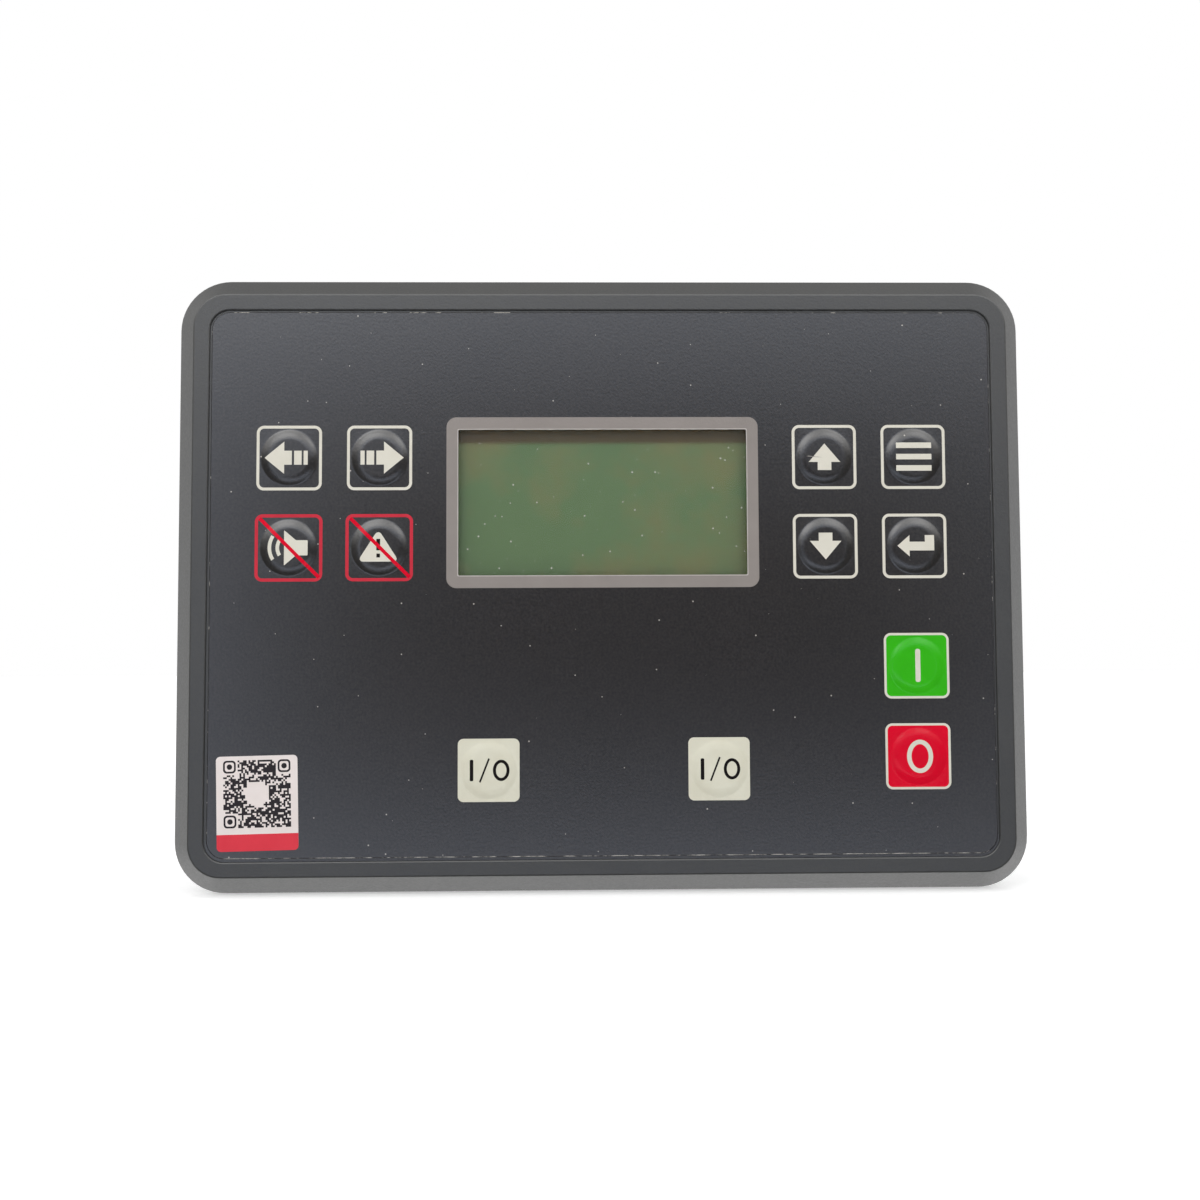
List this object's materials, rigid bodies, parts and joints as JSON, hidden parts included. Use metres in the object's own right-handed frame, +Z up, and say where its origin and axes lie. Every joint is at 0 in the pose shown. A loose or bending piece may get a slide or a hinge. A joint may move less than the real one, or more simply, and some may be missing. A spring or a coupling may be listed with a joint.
{
  "type": "genset controller",
  "caption": "Panel-mount generator set controller: sloped dark grey bezel, sealed keypad film with embossed keys round a display, and a stepped rear housing with plug-in terminals.",
  "frame": {"origin": "centre of the panel cut-out, on the rear face of the panel gasket", "axes": "+X to the right seen from the front, +Y into the panel, +Z up; the front faces -Y"},
  "size_m": [0.24, 0.0451, 0.173],
  "materials": {
    "bezel_plastic": "fine moulded grain",
    "overlay_film": "satin printed polyester",
    "sticker": "satin label film",
    "clear_window": "clear acrylic",
    "foam": "closed-cell foam",
    "sheet_steel": "zinc plated",
    "display_cell": "polarised glass cell",
    "light_guide": "milky acrylic",
    "circuit_board": "solder mask",
    "switch_plastic": "moulded",
    "plunger_plastic": "moulded",
    "chip_plastic": "moulded epoxy",
    "cell_steel": "nickel plated",
    "standoff_brass": "turned",
    "screw_steel": "zinc plated",
    "capacitor_can": "sleeved",
    "transformer_case": "moulded",
    "gasket_rubber": "moulded",
    "housing_plastic": "fine moulded grain",
    "cover_plastic": "fine moulded grain",
    "socket_steel": "tin plated",
    "terminal_plastic": "moulded",
    "contact_tin": "tin plated"
  },
  "bodies": {
    "controller": {"front_bezel": "bezel_plastic", "keypad_film": "overlay_film", "guide_sticker": "sticker", "display_window": "clear_window", "display_gasket": "foam", "lcd_frame": "sheet_steel", "lcd_glass": "display_cell", "lcd_backlight": "light_guide", "front_board": "circuit_board", "switch_bodies": "switch_plastic", "processor": "chip_plastic", "cell_holder": "switch_plastic", "coin_cell": "cell_steel", "link_socket": "chip_plastic", "link_header": "chip_plastic", "rear_board": "circuit_board", "board_standoffs": "standoff_brass", "board_screws": "screw_steel", "supply_capacitors": "capacitor_can", "current_transformers": "transformer_case", "panel_gasket": "gasket_rubber", "rear_housing": "housing_plastic", "rear_cover": "housing_plastic", "housing_screws": "screw_steel", "module_cover_left": "cover_plastic", "module_cover_right": "cover_plastic", "data_socket": "socket_steel", "network_socket": "socket_steel", "terminal_pins": "contact_tin", "terminal_screws": "screw_steel", "generator_volts_header": "terminal_plastic", "mains_volts_header": "terminal_plastic", "current_header": "terminal_plastic", "comms_header": "terminal_plastic", "supply_header": "terminal_plastic", "outputs_header": "terminal_plastic", "inputs_header": "terminal_plastic", "analog_header": "terminal_plastic", "generator_volts_plug": "terminal_plastic", "mains_volts_plug": "terminal_plastic", "current_plug": "terminal_plastic", "comms_plug": "terminal_plastic", "supply_plug": "terminal_plastic", "outputs_plug": "terminal_plastic", "inputs_plug": "terminal_plastic", "analog_plug": "terminal_plastic"},
    "page_left_key": {"page_left_plunger": "plunger_plastic"},
    "page_right_key": {"page_right_plunger": "plunger_plastic"},
    "horn_reset_key": {"horn_reset_plunger": "plunger_plastic"},
    "fault_reset_key": {"fault_reset_plunger": "plunger_plastic"},
    "up_key": {"up_plunger": "plunger_plastic"},
    "menu_key": {"menu_plunger": "plunger_plastic"},
    "down_key": {"down_plunger": "plunger_plastic"},
    "enter_key": {"enter_plunger": "plunger_plastic"},
    "start_key": {"start_plunger": "plunger_plastic"},
    "stop_key": {"stop_plunger": "plunger_plastic"},
    "generator_breaker_key": {"generator_breaker_plunger": "plunger_plastic"},
    "mains_breaker_key": {"mains_breaker_plunger": "plunger_plastic"}
  },
  "joints": [
    {"name": "page_left_press", "type": "slide", "parent": "controller", "child": "page_left_key", "axis": [0, 1, 0], "range_m": [0, 0.0003], "stiffness_N_per_m": 4000},
    {"name": "page_right_press", "type": "slide", "parent": "controller", "child": "page_right_key", "axis": [0, 1, 0], "range_m": [0, 0.0003], "stiffness_N_per_m": 4000},
    {"name": "horn_reset_press", "type": "slide", "parent": "controller", "child": "horn_reset_key", "axis": [0, 1, 0], "range_m": [0, 0.0003], "stiffness_N_per_m": 4000},
    {"name": "fault_reset_press", "type": "slide", "parent": "controller", "child": "fault_reset_key", "axis": [0, 1, 0], "range_m": [0, 0.0003], "stiffness_N_per_m": 4000},
    {"name": "up_press", "type": "slide", "parent": "controller", "child": "up_key", "axis": [0, 1, 0], "range_m": [0, 0.0003], "stiffness_N_per_m": 4000},
    {"name": "menu_press", "type": "slide", "parent": "controller", "child": "menu_key", "axis": [0, 1, 0], "range_m": [0, 0.0003], "stiffness_N_per_m": 4000},
    {"name": "down_press", "type": "slide", "parent": "controller", "child": "down_key", "axis": [0, 1, 0], "range_m": [0, 0.0003], "stiffness_N_per_m": 4000},
    {"name": "enter_press", "type": "slide", "parent": "controller", "child": "enter_key", "axis": [0, 1, 0], "range_m": [0, 0.0003], "stiffness_N_per_m": 4000},
    {"name": "start_press", "type": "slide", "parent": "controller", "child": "start_key", "axis": [0, 1, 0], "range_m": [0, 0.0003], "stiffness_N_per_m": 4000},
    {"name": "stop_press", "type": "slide", "parent": "controller", "child": "stop_key", "axis": [0, 1, 0], "range_m": [0, 0.0003], "stiffness_N_per_m": 4000},
    {"name": "generator_breaker_press", "type": "slide", "parent": "controller", "child": "generator_breaker_key", "axis": [0, 1, 0], "range_m": [0, 0.0003], "stiffness_N_per_m": 4000},
    {"name": "mains_breaker_press", "type": "slide", "parent": "controller", "child": "mains_breaker_key", "axis": [0, 1, 0], "range_m": [0, 0.0003], "stiffness_N_per_m": 4000}
  ]
}
